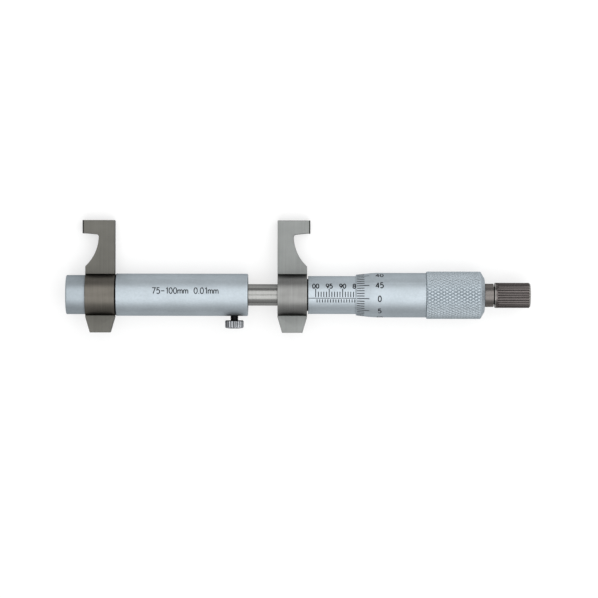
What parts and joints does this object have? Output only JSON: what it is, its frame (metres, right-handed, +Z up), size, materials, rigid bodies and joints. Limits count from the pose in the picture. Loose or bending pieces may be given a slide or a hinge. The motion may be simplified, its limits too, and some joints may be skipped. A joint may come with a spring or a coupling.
{
  "type": "inside micrometer",
  "caption": "Jaw-type inside micrometer: two outward-facing jaws, sliding guide tube with lock screw, graduated sleeve, knurled thimble and ratchet knob.",
  "frame": {"origin": "on the surface it lies on, under the middle of its bounding box", "axes": "+X along the spindle towards the ratchet, +Y the way the jaw arms point, +Z up from the surface; the arms lean down so that their corners touch it"},
  "size_m": [0.173, 0.042, 0.0177],
  "materials": {
    "jaw_steel": "finely ground steel, slightly warm grey",
    "face_steel": "lapped hard measuring face, dark",
    "polished_steel": "ground and polished",
    "blackened_steel": "blackened",
    "satin_chrome": "matt chrome plate",
    "turned_steel": "turned steel",
    "bronze": "turned bronze",
    "ratchet_steel": "dark satin steel",
    "lock_steel": "satin head on a dark screw"
  },
  "bodies": {
    "frame": {"fixed_jaw": "jaw_steel", "fixed_jaw_tip": "face_steel", "guide_rod": "polished_steel", "inner_sleeve": "blackened_steel", "scale_sleeve": "satin_chrome", "adjusting_nut": "turned_steel"},
    "carriage": {"movable_jaw": "jaw_steel", "movable_jaw_tip": "face_steel", "spacer_ring": "blackened_steel", "body_tube": "satin_chrome", "guide_bush": "bronze", "guide_key": "turned_steel", "thrust_bush": "bronze", "end_cap": "satin_chrome"},
    "screw": {"spindle": "turned_steel", "thimble": "satin_chrome", "thrust_washer": "turned_steel", "thrust_nut": "turned_steel", "thrust_lock_nut": "turned_steel", "ratchet_base": "ratchet_steel", "ratchet_screw": "turned_steel"},
    "ratchet": {"ratchet_knob": "ratchet_steel", "ratchet_ring": "turned_steel", "ratchet_spring": "turned_steel"},
    "lock_plug": {"lock_pad": "bronze"},
    "lock_thumb_screw": {"lock_screw": "lock_steel"}
  },
  "joints": [
    {"name": "jaw_slide", "type": "slide", "parent": "frame", "child": "carriage", "axis": [-1, 0, 0], "range_m": [-0.01, 0.015]},
    {"name": "thimble_turn", "type": "hinge", "parent": "carriage", "child": "screw", "pos_m": [0.0215, -0.00666, 0.00883], "axis": [-1, 0, 0], "range_deg": [-7200, 10800]},
    {"name": "ratchet_turn", "type": "hinge", "parent": "screw", "child": "ratchet", "pos_m": [0.0732, -0.00666, 0.00883], "axis": [-1, 0, 0], "continuous": true},
    {"name": "lock_plug_slide", "type": "slide", "parent": "carriage", "child": "lock_plug", "axis": [0, 0.9751, -0.2216], "range_m": [-0.0005, 0.00025]},
    {"name": "lock_screw_turn", "type": "hinge", "parent": "lock_plug", "child": "lock_thumb_screw", "pos_m": [-0.0238, -0.01592, 0.01093], "axis": [0, 0.9751, -0.2216], "range_deg": [-360, 180]}
  ],
  "couplings": [
    {"joint": "thimble_turn", "follows": "jaw_slide", "rad_per_m": 12566},
    {"joint": "lock_screw_turn", "follows": "lock_plug_slide", "rad_per_m": 12566}
  ]
}
